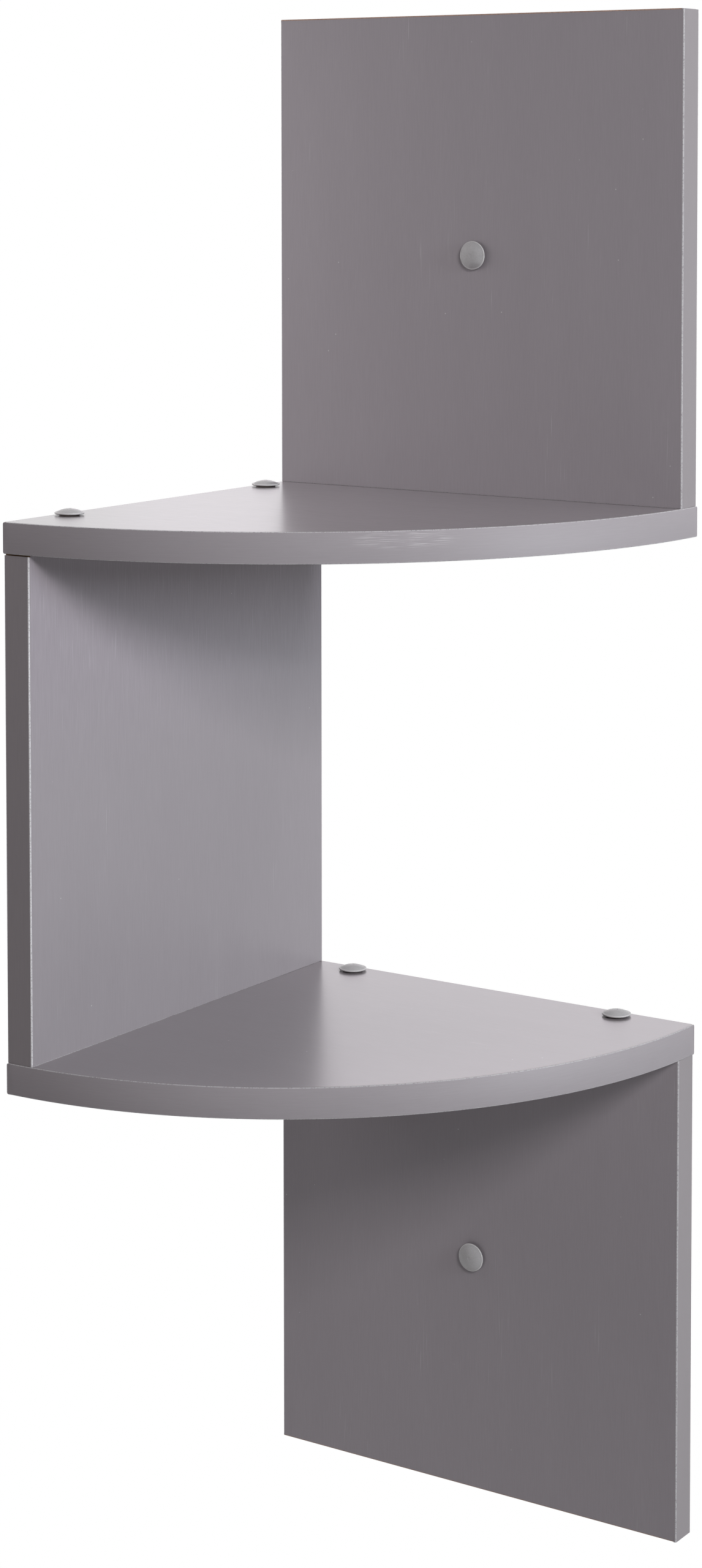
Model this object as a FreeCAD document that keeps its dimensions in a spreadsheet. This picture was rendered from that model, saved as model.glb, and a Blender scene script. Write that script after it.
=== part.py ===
import FreeCAD, Part
import math
import os
import Sketcher
from enum import IntEnum

# Two-tier corner shelf: three square wall panels and two quarter-round shelves, screwed together in a
# zig-zag. The origin lies on the right wall, midway between the two wall screws. +X runs along the right
# wall, away from the room's corner, +Y goes into that wall and +Z is up.

# Driving dimensions, in millimetres: name, size, what it is
SIZES = [
    ("board_thickness", 12.0, "thickness of all five boards"),
    ("shelf_reach", 192.0, "from the room's corner to the round front of a shelf, band included"),
    ("panel_setback", 0.5, "how far a panel's front end stops short of the shelf's tip"),
    ("panel_height", 194.5, "height of a wall panel, band included"),
    ("band_thickness", 1.0, "thickness of the glued edge bands"),
    ("band_chamfer", 0.6, "trimmed corner along both sides of an edge band"),
    ("glue_line", 0.1, "seam between a board's edge and its band"),
    ("corner_inset", 32.0, "from the room's corner to the nearer screw of a joint"),
    ("front_inset", 31.5, "from a panel's front end to the farther screw of a joint"),
    ("thread_diameter", 4.0, "outer diameter of the screw threads"),
    ("shank_diameter", 2.9, "plain shank under a screw's head"),
    ("thread_relief", 0.5, "plain shank beyond the board that the head sits on"),
    ("joint_screw_length", 40.0, "joint screw, from under its head to its point"),
    ("wall_screw_length", 45.0, "wall screw, from under its head to its point"),
    ("point_length", 5.0, "tapered point of a screw"),
    ("head_diameter", 8.0, "flat-bottomed screw head"),
    ("head_height", 1.8, "height of the screw head over the board"),
    ("head_rounding", 0.5, "rounded rim of the screw head"),
    ("drive_span", 4.4, "length of each arm pair of the cross recess"),
    ("drive_width", 1.0, "width of the cross recess's arms"),
    ("drive_floor", 0.7, "metal left under the cross recess"),
    ("hole_clearance", 0.3, "room round the thread in a through hole, each side"),
    ("pilot_clearance", 0.1, "room round the thread in a panel's end hole, each side"),
    ("pilot_room", 2.0, "room beyond the screw's point in a panel's end hole"),
    ("cap_clearance", 0.3, "room round the head inside its push-on cap, each side"),
    ("cap_rim_width", 1.7, "width of the cap's rim round the head"),
    ("cap_rim_height", 0.5, "straight edge of the cap's rim"),
    ("cap_dome_height", 1.4, "rise of the cap's dome over its rim"),
    ("cap_lap", 0.8, "how far the cap's rim reaches down past the top of the head"),
    ("peg_clearance", 0.15, "room round the cap's peg in the cross recess, each side"),
    ("peg_end_room", 0.1, "room beyond the cap's peg in the cross recess"),
]

doc = FreeCAD.newDocument("corner_shelf")
sheet = doc.addObject("Spreadsheet::Sheet", "Sizes")
for row, (alias, size, meaning) in enumerate(SIZES, start=1):
    sheet.set(f"A{row}", alias)
    sheet.set(f"B{row}", str(size))
    sheet.set(f"C{row}", meaning)
    sheet.setAlias(f"B{row}", alias)
doc.recompute()

# Sizes and places worked out from the driving dimensions, as expressions on the sheet
THICK = "Sizes.board_thickness"
REACH = "Sizes.shelf_reach"
HEIGHT = "Sizes.panel_height"
BAND = "Sizes.band_thickness"
EDGE = f"({BAND} + Sizes.glue_line)"
PANEL_WIDTH = f"({REACH} - Sizes.panel_setback)"
BOARD_WIDTH = f"({PANEL_WIDTH} - {EDGE})"
NEAR_SCREW = "Sizes.corner_inset"
FAR_SCREW = f"({PANEL_WIDTH} - Sizes.front_inset)"
BOARD_MIDDLE = f"({THICK} / 2)"
PANEL_MIDDLE = f"({PANEL_WIDTH} / 2)"
HALFWAY_UP = f"({HEIGHT} / 2)"
THROUGH_HOLE = "(Sizes.thread_diameter + 2 * Sizes.hole_clearance)"
PILOT_HOLE = "(Sizes.thread_diameter + 2 * Sizes.pilot_clearance)"
PILOT_DEPTH = f"(Sizes.joint_screw_length - {THICK} + Sizes.pilot_room)"
HEAD_TOP = "Sizes.head_height"
DRIVE_DEPTH = f"({HEAD_TOP} - Sizes.drive_floor)"

# The room's corner, and the level of the underside of each board from the bottom up
CORNER_X = f"(-{PANEL_MIDDLE})"
TOP_END = f"((3 * {HEIGHT} + 2 * {THICK}) / 2)"
LOWER_PANEL_Z = f"(-{TOP_END})"
LOWER_SHELF_Z = f"({LOWER_PANEL_Z} + {HEIGHT})"
MIDDLE_PANEL_Z = f"({LOWER_SHELF_Z} + {THICK})"
UPPER_SHELF_Z = f"({MIDDLE_PANEL_Z} + {HEIGHT})"
UPPER_PANEL_Z = f"({UPPER_SHELF_Z} + {THICK})"

# Boards are drawn in the first quadrant, from the room's corner outwards. A panel on the right wall keeps
# that direction. A panel on the left wall, or a shelf, is turned a quarter round to run along -Y.
ALONG_RIGHT_WALL = (FreeCAD.Vector(0, 0, 1), 0)
ALONG_LEFT_WALL = (FreeCAD.Vector(0, 0, 1), -90)
# Screws and caps are drawn head up, with the board's surface at height zero
HEAD_UP = (FreeCAD.Vector(1, 0, 0), 0)
HEAD_DOWN = (FreeCAD.Vector(1, 0, 0), 180)
HEAD_OUT_OF_WALL = (FreeCAD.Vector(1, 0, 0), 90)

subparts = []


class Axis(IntEnum):
    """A sketch's own two axes, by the numbers that its constraints know them by."""

    LEVEL = -1
    UPRIGHT = -2


class Vertex(IntEnum):
    """The vertices of a sketch's lines and arcs."""

    START = 1
    END = 2
    CENTRE = 3


ORIGIN = (Axis.LEVEL, Vertex.START)
NORMAL = FreeCAD.Vector(0, 0, 1)
NEARLY = 1e-4


def value(expression):
    """The size, in millimetres, that an expression on the sheet comes to."""
    return float(sheet.evalExpression(expression))


def point(x, y):
    return FreeCAD.Vector(value(x), value(y), 0)


def close_to(a, b):
    return abs(a - b) < NEARLY


def new_body(label):
    body = doc.addObject("PartDesign::Body", label)
    body.Label = label
    subparts.append(body)
    return body


def place(body, x, y, z, turn):
    """Puts a body at the place that three expressions give, turned about an axis by some degrees."""
    body.Placement = FreeCAD.Placement(FreeCAD.Vector(), FreeCAD.Rotation(*turn))
    for letter, expression in zip("xyz", (x, y, z)):
        body.setExpression(f"Placement.Base.{letter}", expression)


def place_on_wall(body, z, turn):
    """Puts a panel's piece in the room's corner, at level z, with its back against the wall it runs along."""
    y = f"(-{THICK})" if turn is ALONG_RIGHT_WALL else "0"
    place(body, CORNER_X, y, z, turn)


def new_sketch(body, name, plane, level="0"):
    """A sketch on one of the body's own origin planes, lifted to a level along the plane's normal."""
    sketch = body.newObject("Sketcher::SketchObject", name)
    support = next(f for f in body.Origin.OriginFeatures if f.Role == plane)
    sketch.AttachmentSupport = [(support, "")]
    sketch.MapMode = "FlatFace"
    sketch.setExpression("AttachmentOffset.Base.z", level)
    return sketch


def rule(sketch, *facts):
    return sketch.addConstraint(Sketcher.Constraint(*facts))


def bound_rule(sketch, expression, *facts):
    """A constraint whose size follows an expression."""
    index = rule(sketch, *facts, value(expression))
    sketch.setExpression(f"Constraints[{index}]", expression)


def pin(sketch, geometry, vertex, x, y):
    """Ties one vertex to the place that two expressions give."""
    for kind, expression, zero_line in (("DistanceX", x, Axis.UPRIGHT), ("DistanceY", y, Axis.LEVEL)):
        if expression == "0":
            rule(sketch, "PointOnObject", geometry, vertex, zero_line)
        else:
            bound_rule(sketch, expression, kind, *ORIGIN, geometry, vertex)


def path(sketch, corners):
    """Straight lines from corner to corner, each a pair of expressions. Returns the first and last line."""
    first = sketch.GeometryCount
    for a, b in zip(corners, corners[1:]):
        line = sketch.addGeometry(Part.LineSegment(point(*a), point(*b)))
        pin(sketch, line, Vertex.START, *a)
        if line > first:
            rule(sketch, "Coincident", line - 1, Vertex.END, line, Vertex.START)
    return first, line


def outline(sketch, corners):
    """A closed outline of straight sides."""
    first, last = path(sketch, corners + corners[:1])
    rule(sketch, "Coincident", last, Vertex.END, first, Vertex.START)


def rectangle(sketch, left, right, bottom, top):
    outline(sketch, [(left, bottom), (right, bottom), (right, top), (left, top)])


def circle(sketch, x, y, diameter):
    index = sketch.addGeometry(Part.Circle(point(x, y), NORMAL, value(diameter) / 2))
    pin(sketch, index, Vertex.CENTRE, x, y)
    bound_rule(sketch, diameter, "Diameter", index)


def corner_arc(sketch, radius):
    """A quarter arc about the sketch's origin, from the level axis to the upright one."""
    whole = Part.Circle(FreeCAD.Vector(), NORMAL, value(radius))
    arc = sketch.addGeometry(Part.ArcOfCircle(whole, 0, math.pi / 2))
    rule(sketch, "Coincident", arc, Vertex.CENTRE, *ORIGIN)
    rule(sketch, "PointOnObject", arc, Vertex.START, Axis.LEVEL)
    rule(sketch, "PointOnObject", arc, Vertex.END, Axis.UPRIGHT)
    bound_rule(sketch, radius, "Radius", arc)
    return arc


def join(sketch, a, b):
    """A straight line between two vertices, each given as a geometry and a vertex of it."""
    line = sketch.addGeometry(Part.LineSegment(sketch.getPoint(*a), sketch.getPoint(*b)))
    rule(sketch, "Coincident", line, Vertex.START, *a)
    rule(sketch, "Coincident", line, Vertex.END, *b)


def pad(body, sketch, length, name, reverse=False):
    feature = body.newObject("PartDesign::Pad", name)
    feature.Profile = sketch
    feature.setExpression("Length", length)
    feature.Reversed = reverse
    doc.recompute()
    return feature


def pocket(body, sketch, name, depth=None, reverse=False):
    """Cuts a sketch into the body: to a depth or, with none given, right through both ways."""
    before = body.Shape.Volume
    feature = body.newObject("PartDesign::Pocket", name)
    feature.Profile = sketch
    feature.Reversed = reverse
    if depth:
        feature.setExpression("Length", depth)
    else:
        feature.Type = "ThroughAll"
        feature.SideType = "Symmetric"
    doc.recompute()
    if body.Shape.Volume >= before:
        raise RuntimeError(f"{name} cuts nothing")


def revolve(body, sketch, name):
    feature = body.newObject("PartDesign::Revolution", name)
    feature.Profile = sketch
    feature.ReferenceAxis = (sketch, ["V_Axis"])
    doc.recompute()
    return feature


def edges_through(feature, passes):
    """The names of the feature's edges whose every vertex passes a test."""
    edges = enumerate(feature.Shape.Edges, start=1)
    return [f"Edge{i}" for i, edge in edges if all(passes(v.Point) for v in edge.Vertexes)]


def chamfer(body, feature, passes, name):
    """Trims an edge band's outer corners."""
    trimmed = body.newObject("PartDesign::Chamfer", name)
    trimmed.Base = (feature, edges_through(feature, passes))
    trimmed.setExpression("Size", "Sizes.band_chamfer")
    doc.recompute()
    return trimmed


def shelf(label, z):
    """A quarter-round board with a through hole for each of its four joint screws."""
    body = new_body(label)
    sketch = new_sketch(body, f"{label}_outline", "XY_Plane")
    front = corner_arc(sketch, f"({REACH} - {EDGE})")
    join(sketch, (front, Vertex.END), ORIGIN)
    join(sketch, ORIGIN, (front, Vertex.START))
    pad(body, sketch, THICK, f"{label}_board")
    holes = new_sketch(body, f"{label}_screw_places", "XY_Plane")
    for along in (NEAR_SCREW, FAR_SCREW):
        circle(holes, along, BOARD_MIDDLE, THROUGH_HOLE)
        circle(holes, BOARD_MIDDLE, along, THROUGH_HOLE)
    pocket(body, holes, f"{label}_screw_holes")
    place(body, CORNER_X, "0", z, ALONG_LEFT_WALL)


def shelf_band(label, z):
    """The curved strip round a shelf's front, trimmed along its upper and lower corner."""
    body = new_body(label)
    sketch = new_sketch(body, f"{label}_outline", "XY_Plane")
    inside = corner_arc(sketch, f"({REACH} - {BAND})")
    outside = corner_arc(sketch, REACH)
    join(sketch, (inside, Vertex.START), (outside, Vertex.START))
    join(sketch, (inside, Vertex.END), (outside, Vertex.END))
    strip = pad(body, sketch, THICK, f"{label}_strip")
    front = value(REACH)
    for level in (0, value(THICK)):
        strip = chamfer(
            body,
            strip,
            lambda p: close_to(math.hypot(p.x, p.y), front) and close_to(p.z, level),
            f"{label}_trimmed_corner",
        )
    place(body, CORNER_X, "0", z, ALONG_LEFT_WALL)


def end_holes(body, name, level, reverse):
    """Two holes in a panel's end for the threads of the joint screws."""
    sketch = new_sketch(body, f"{name}_places", "XY_Plane", level)
    for along in (NEAR_SCREW, FAR_SCREW):
        circle(sketch, along, BOARD_MIDDLE, PILOT_HOLE)
    pocket(body, sketch, name, PILOT_DEPTH, reverse)


def wall_hole(body, name):
    """A through hole in the middle of a panel for its wall screw."""
    sketch = new_sketch(body, f"{name}_place", "XZ_Plane")
    circle(sketch, PANEL_MIDDLE, HALFWAY_UP, THROUGH_HOLE)
    pocket(body, sketch, name)


def panel(label, z, turn, banded_end=None):
    """A wall panel's board. An end that stands against a shelf is drilled for its two screws. A panel with a
    banded end is one of the two that the wall screws hold."""
    body = new_body(label)
    foot = EDGE if banded_end == "bottom" else "0"
    head = f"({HEIGHT} - {EDGE})" if banded_end == "top" else HEIGHT
    sketch = new_sketch(body, f"{label}_outline", "XY_Plane", foot)
    rectangle(sketch, "0", BOARD_WIDTH, "0", THICK)
    pad(body, sketch, f"({head} - {foot})", f"{label}_board")
    if banded_end != "top":
        end_holes(body, f"{label}_top_holes", HEIGHT, reverse=False)
    if banded_end != "bottom":
        end_holes(body, f"{label}_bottom_holes", "0", reverse=True)
    if banded_end:
        wall_hole(body, f"{label}_wall_screw_hole")
    place_on_wall(body, z, turn)


def front_band(label, z, turn):
    """The upright strip on a panel's front end, over the panel's whole height."""
    body = new_body(label)
    sketch = new_sketch(body, f"{label}_outline", "XY_Plane")
    rectangle(sketch, f"({PANEL_WIDTH} - {BAND})", PANEL_WIDTH, "0", THICK)
    strip = pad(body, sketch, HEIGHT, f"{label}_strip")
    front = value(PANEL_WIDTH)
    for side in (0, value(THICK)):
        strip = chamfer(
            body,
            strip,
            lambda p: close_to(p.x, front) and close_to(p.y, side),
            f"{label}_trimmed_corner",
        )
    place_on_wall(body, z, turn)


def end_band(label, z, outer_level):
    """The level strip on the open end of a right-wall panel, from the room's corner to the upright strip."""
    body = new_body(label)
    sketch = new_sketch(body, f"{label}_outline", "XY_Plane")
    rectangle(sketch, "0", BOARD_WIDTH, "0", THICK)
    strip = pad(body, sketch, BAND, f"{label}_strip")
    outside = value(outer_level)
    for side in (0, value(THICK)):
        strip = chamfer(
            body,
            strip,
            lambda p: close_to(p.z, outside) and close_to(p.y, side),
            f"{label}_trimmed_corner",
        )
    place_on_wall(body, z, ALONG_RIGHT_WALL)


def cross(sketch, span, width):
    """A plus-shaped outline about the sketch's origin, one arm after the other."""
    far, near = f"({span} / 2)", f"({width} / 2)"
    minus_far, minus_near = f"(-{far})", f"(-{near})"
    right_arm = [(near, minus_near), (far, minus_near), (far, near)]
    top_arm = [(near, near), (near, far), (minus_near, far)]
    left_arm = [(minus_near, near), (minus_far, near), (minus_far, minus_near)]
    bottom_arm = [(minus_near, minus_near), (minus_near, minus_far), (near, minus_far)]
    outline(sketch, right_arm + top_arm + left_arm + bottom_arm)


def screw(label, length, x, y, z, turn):
    """A screw with a flat-bottomed head, a plain shank through the board and a pointed thread."""
    body = new_body(label)
    head = "(Sizes.head_diameter / 2)"
    shank = "(Sizes.shank_diameter / 2)"
    thread = "(Sizes.thread_diameter / 2)"
    thread_start = f"(-{THICK} - Sizes.thread_relief)"
    sketch = new_sketch(body, f"{label}_profile", "XZ_Plane")
    under_head = [(thread, thread_start), (shank, thread_start), (shank, "0"), (head, "0")]
    tip = [("0", f"(-{length})"), (thread, f"(Sizes.point_length - {length})")]
    outline(sketch, tip + under_head + [(head, HEAD_TOP), ("0", HEAD_TOP)])
    turned = revolve(body, sketch, f"{label}_turned")
    top = value(HEAD_TOP)
    rounded = body.newObject("PartDesign::Fillet", f"{label}_rounded_rim")
    rounded.Base = (turned, edges_through(turned, lambda p: close_to(p.z, top) and p.x > NEARLY))
    rounded.setExpression("Radius", "Sizes.head_rounding")
    doc.recompute()
    recess = new_sketch(body, f"{label}_drive_outline", "XY_Plane", HEAD_TOP)
    cross(recess, "Sizes.drive_span", "Sizes.drive_width")
    pocket(body, recess, f"{label}_drive", DRIVE_DEPTH)
    place(body, x, y, z, turn)


def dome(sketch, edge, shoulder, crown):
    """An arc from the cap's edge up to its crown, about a centre on the upright axis."""
    half_width = value(edge)
    rise = value(crown) - value(shoulder)
    radius = (half_width**2 + rise**2) / (2 * rise)
    centre = FreeCAD.Vector(0, value(crown) - radius, 0)
    edge_angle = math.acos(half_width / radius)
    whole = Part.Circle(centre, NORMAL, radius)
    arc = sketch.addGeometry(Part.ArcOfCircle(whole, edge_angle, math.pi / 2))
    rule(sketch, "PointOnObject", arc, Vertex.CENTRE, Axis.UPRIGHT)
    return arc


def cap(label, x, y, z, turn):
    """A low domed cap: its ceiling lies on the screw's head and its cross peg goes into the drive recess."""
    body = new_body(label)
    bore = "(Sizes.head_diameter / 2 + Sizes.cap_clearance)"
    edge = f"({bore} + Sizes.cap_rim_width)"
    rim = f"({HEAD_TOP} - Sizes.cap_lap)"
    shoulder = f"({rim} + Sizes.cap_rim_height)"
    crown = f"({shoulder} + Sizes.cap_dome_height)"
    sketch = new_sketch(body, f"{label}_profile", "XZ_Plane")
    inside = [("0", crown), ("0", HEAD_TOP), (bore, HEAD_TOP), (bore, rim)]
    first, last = path(sketch, inside + [(edge, rim), (edge, shoulder)])
    pin(sketch, last, Vertex.END, edge, shoulder)
    arc = dome(sketch, edge, shoulder, crown)
    rule(sketch, "Coincident", arc, Vertex.START, last, Vertex.END)
    rule(sketch, "Coincident", arc, Vertex.END, first, Vertex.START)
    revolve(body, sketch, f"{label}_turned")
    peg = new_sketch(body, f"{label}_peg_outline", "XY_Plane", HEAD_TOP)
    room = "(2 * Sizes.peg_clearance)"
    cross(peg, f"(Sizes.drive_span - {room})", f"(Sizes.drive_width - {room})")
    pad(body, peg, f"({DRIVE_DEPTH} - Sizes.peg_end_room)", f"{label}_peg", reverse=True)
    place(body, x, y, z, turn)


def joint_fasteners(name, z, turn, wall):
    """The two screws, with their caps, that hold a shelf to the panel on one wall."""
    for end, along in (("corner", NEAR_SCREW), ("front", FAR_SCREW)):
        if wall is ALONG_LEFT_WALL:
            x, y = f"({CORNER_X} + {BOARD_MIDDLE})", f"(-{along})"
        else:
            x, y = f"({CORNER_X} + {along})", f"(-{BOARD_MIDDLE})"
        screw(f"{name}_screw_{end}", "Sizes.joint_screw_length", x, y, z, turn)
        cap(f"{name}_cap_{end}", x, y, z, turn)


def wall_fastener(name, panel_z):
    """The screw, with its cap, that holds the middle of a right-wall panel to the wall."""
    surface = ("0", f"(-{THICK})", f"({panel_z} + {HALFWAY_UP})", HEAD_OUT_OF_WALL)
    screw(f"{name}_wall_screw", "Sizes.wall_screw_length", *surface)
    cap(f"{name}_wall_cap", *surface)


# Boards
panel("lower_panel", LOWER_PANEL_Z, ALONG_RIGHT_WALL, banded_end="bottom")
shelf("lower_shelf", LOWER_SHELF_Z)
panel("middle_panel", MIDDLE_PANEL_Z, ALONG_LEFT_WALL)
shelf("upper_shelf", UPPER_SHELF_Z)
panel("upper_panel", UPPER_PANEL_Z, ALONG_RIGHT_WALL, banded_end="top")

# Edge bands
shelf_band("lower_shelf_band", LOWER_SHELF_Z)
shelf_band("upper_shelf_band", UPPER_SHELF_Z)
front_band("lower_panel_front_band", LOWER_PANEL_Z, ALONG_RIGHT_WALL)
front_band("middle_panel_front_band", MIDDLE_PANEL_Z, ALONG_LEFT_WALL)
front_band("upper_panel_front_band", UPPER_PANEL_Z, ALONG_RIGHT_WALL)
end_band("lower_panel_bottom_band", LOWER_PANEL_Z, outer_level="0")
end_band("upper_panel_top_band", f"({TOP_END} - {BAND})", outer_level=BAND)

# Screws and caps: a shelf is screwed down to the panel below it and, from beneath, up to the one above it
joint_fasteners("upper_shelf_top", UPPER_PANEL_Z, HEAD_UP, ALONG_LEFT_WALL)
joint_fasteners("upper_shelf_under", UPPER_SHELF_Z, HEAD_DOWN, ALONG_RIGHT_WALL)
joint_fasteners("lower_shelf_top", MIDDLE_PANEL_Z, HEAD_UP, ALONG_RIGHT_WALL)
joint_fasteners("lower_shelf_under", LOWER_SHELF_Z, HEAD_DOWN, ALONG_LEFT_WALL)
wall_fastener("upper", UPPER_PANEL_Z)
wall_fastener("lower", LOWER_PANEL_Z)

doc.recompute()

# Every feature must have worked, and every piece must be one sound solid, before anything is written
for thing in doc.Objects:
    if "Invalid" in thing.State or "Error" in thing.State:
        raise RuntimeError(f"{thing.Label} failed")
for body in subparts:
    shape = body.Shape
    if shape.isNull() or not shape.isValid() or len(shape.Solids) != 1:
        raise RuntimeError(f"{body.Label} isn't one sound solid")

os.makedirs("parts", exist_ok=True)
for body in subparts:
    body.Shape.exportStep(f"parts/{body.Label}.step")
    print(body.Label, round(body.Shape.Volume, 1))
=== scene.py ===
# %% [markdown]
# # A zig-zag corner shelf
#
# The shelf hangs in a room's corner. Two square panels lie on the right wall, one lies on the left wall
# between them, and two quarter-round shelves join them. The CAD model already has every board, edge strip,
# screw and cap in its place, so this lesson only has to make them look like the real thing. We load the
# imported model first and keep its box, because nothing we make may leave it.

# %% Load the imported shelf
import math

import bmesh
import bpy
from mathutils import Matrix, Vector


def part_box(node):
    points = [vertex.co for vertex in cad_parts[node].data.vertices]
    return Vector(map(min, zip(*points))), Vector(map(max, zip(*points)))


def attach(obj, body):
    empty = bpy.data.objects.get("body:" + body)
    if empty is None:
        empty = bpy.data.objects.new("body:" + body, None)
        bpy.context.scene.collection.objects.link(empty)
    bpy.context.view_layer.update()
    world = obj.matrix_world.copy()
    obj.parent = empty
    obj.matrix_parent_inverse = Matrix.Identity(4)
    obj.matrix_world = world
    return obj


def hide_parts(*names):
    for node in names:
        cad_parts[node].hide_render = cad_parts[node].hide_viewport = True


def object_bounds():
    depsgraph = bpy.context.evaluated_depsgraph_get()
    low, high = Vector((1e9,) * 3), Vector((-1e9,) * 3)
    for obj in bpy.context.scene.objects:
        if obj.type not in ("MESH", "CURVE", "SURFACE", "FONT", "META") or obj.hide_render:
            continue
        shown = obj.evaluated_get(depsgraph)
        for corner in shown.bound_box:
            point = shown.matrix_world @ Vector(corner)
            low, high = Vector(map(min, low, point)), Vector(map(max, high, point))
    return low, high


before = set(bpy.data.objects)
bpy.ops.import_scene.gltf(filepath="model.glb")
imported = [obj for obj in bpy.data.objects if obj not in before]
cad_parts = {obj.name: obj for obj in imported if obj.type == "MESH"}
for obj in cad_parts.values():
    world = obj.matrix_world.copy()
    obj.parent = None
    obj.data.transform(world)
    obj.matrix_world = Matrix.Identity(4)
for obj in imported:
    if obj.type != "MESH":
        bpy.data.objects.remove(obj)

cad_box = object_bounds()
MM = 0.001
print("packed nodes:", len(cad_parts))

# %% [markdown]
# ## The camera
#
# The picture was taken a little from the right and from above the upper shelf, with upright lines kept
# nearly upright. A camera that is tilted down would make them lean, so the lens is shifted down instead, as
# on a view camera, and only the small tilt that is left turns the camera itself.

# %% Set up the camera
camera = bpy.data.objects.new("camera", bpy.data.cameras.new("camera"))
bpy.context.collection.objects.link(camera)
camera.location = (0.6794, -1.0929, 0.2458)
camera.rotation_euler = (math.radians(86.61), 0, math.radians(33.62))
camera.data.lens = 72.4
camera.data.shift_x = -0.0268
camera.data.shift_y = -0.28
bpy.context.scene.camera = camera
bpy.context.scene.view_settings.view_transform = "Standard"
print("camera lens:", camera.data.lens, "mm")

# %% [markdown]
# ## Helpers for node trees
#
# A material is a tree of nodes. Making each node by hand takes several lines, so one helper adds a node,
# sets its options and fills its inputs: a plain value is set, and an output of another node is linked. A
# second one starts a finish with an empty tree. A third turns a colour from a paint chart, 0 to 255, into
# the linear values that shaders work with.

# %% Add nodes, start finishes and write colours
def add(tree, kind, inputs=None, **options):
    made = tree.nodes.new("ShaderNode" + kind)
    for name, value in options.items():
        setattr(made, name, value)
    for key, value in (inputs or {}).items():
        if isinstance(value, bpy.types.NodeSocket):
            tree.links.new(value, made.inputs[key])
        else:
            made.inputs[key].default_value = value
    return made


def new_finish(name):
    made = bpy.data.materials.new(name)
    made.use_nodes = True
    made.node_tree.nodes.clear()
    return made, made.node_tree


def paint(*chart):
    linear = [c / 255 / 12.92 if c <= 10 else ((c / 255 + 0.055) / 1.055) ** 2.4 for c in chart]
    return (*linear, 1.0)


WHITE = paint(255, 255, 255)
print("white in linear light:", [round(v, 3) for v in WHITE])

# %% [markdown]
# ## White surroundings
#
# The picture has a pure white background with no horizon. The world is white where the camera sees it, and
# also where a shiny surface or glass would show it. For all other light it is dimmer, so that the lamps
# below can model the boards. One helper gives the mask for the rays that see the white.

# %% Make the world
WORLD_FILL = 0.03


def sees_white(tree):
    path = add(tree, "LightPath").outputs
    direct = add(tree, "Math", {0: path["Is Camera Ray"], 1: path["Is Glossy Ray"]}, operation="MAXIMUM")
    through = path["Is Transmission Ray"]
    return add(tree, "Math", {0: direct.outputs[0], 1: through}, operation="MAXIMUM").outputs[0]


world = bpy.data.worlds.new("studio")
bpy.context.scene.world = world
world.use_nodes = True
tree = world.node_tree
tree.nodes.clear()
fill = add(tree, "Background", {"Color": WHITE, "Strength": WORLD_FILL})
white = add(tree, "Background", {"Color": WHITE, "Strength": 1.0})
around = add(tree, "MixShader", {0: sees_white(tree), 1: fill.outputs[0], 2: white.outputs[0]})
add(tree, "OutputWorld", {"Surface": around.outputs[0]})
print("world fill strength:", WORLD_FILL)

# %% [markdown]
# ## The floor's white
#
# The floor has to be white and still keep a shadow. For the rays that see white, it is part paint and part
# glow: where light reaches it the two add up to white, and where the shelf shades it only the paint's part
# is lost. Further from the shelf's middle than a shadow reaches, it fades into plain white glow.

# %% Mix the floor's white
FLOOR_DULL, FLOOR_PALE = (0.6, 0.6, 0.6, 1), (0.64, 0.64, 0.64, 1)
FLOOR_GLOW = 0.7
FADE_FROM, FADE_TO = 0.8, 1.3

floor_paint, tree = new_finish("floor_white")
mottle = add(tree, "TexNoise", {"Scale": 3.0, "Detail": 3.0})
tint = add(tree, "Mix", {0: mottle.outputs[0], 6: FLOOR_DULL, 7: FLOOR_PALE}, data_type="RGBA")
matt = add(tree, "BsdfDiffuse", {"Color": tint.outputs[2]})
glow = add(tree, "Emission", {"Color": WHITE, "Strength": FLOOR_GLOW})
plain = add(tree, "Emission", {"Color": WHITE, "Strength": 1.0})
under = add(tree, "AddShader", {0: matt.outputs[0], 1: glow.outputs[0]})
place = add(tree, "TexCoord").outputs["Object"]
away = add(tree, "VectorMath", {0: place}, operation="LENGTH").outputs["Value"]
fade = add(tree, "MapRange", {0: away, 1: FADE_FROM, 2: FADE_TO}, interpolation_type="SMOOTHSTEP")
bright = add(tree, "MixShader", {0: fade.outputs[0], 1: under.outputs[0], 2: plain.outputs[0]})
seen = add(tree, "MixShader", {0: sees_white(tree), 1: matt.outputs[0], 2: bright.outputs[0]})
add(tree, "OutputMaterial", {"Surface": seen.outputs[0]})
print("floor glow strength:", FLOOR_GLOW)

# %% [markdown]
# ## The floor
#
# The shelf hangs on a wall, so the floor lies well below it and its shadow falls outside the picture.

# %% Lay the floor
FLOOR_DEPTH = 0.90
FLOOR_HALF = 15.0

shape = bmesh.new()
bmesh.ops.create_grid(shape, x_segments=1, y_segments=1, size=FLOOR_HALF)
bmesh.ops.translate(shape, verts=shape.verts, vec=(0, 0, -FLOOR_DEPTH))
floor_mesh = bpy.data.meshes.new("floor")
shape.to_mesh(floor_mesh)
shape.free()
floor_mesh.materials.append(floor_paint)
floor = bpy.data.objects.new("floor", floor_mesh)
bpy.context.collection.objects.link(floor)
print("floor lies at", -FLOOR_DEPTH, "m")

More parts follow.
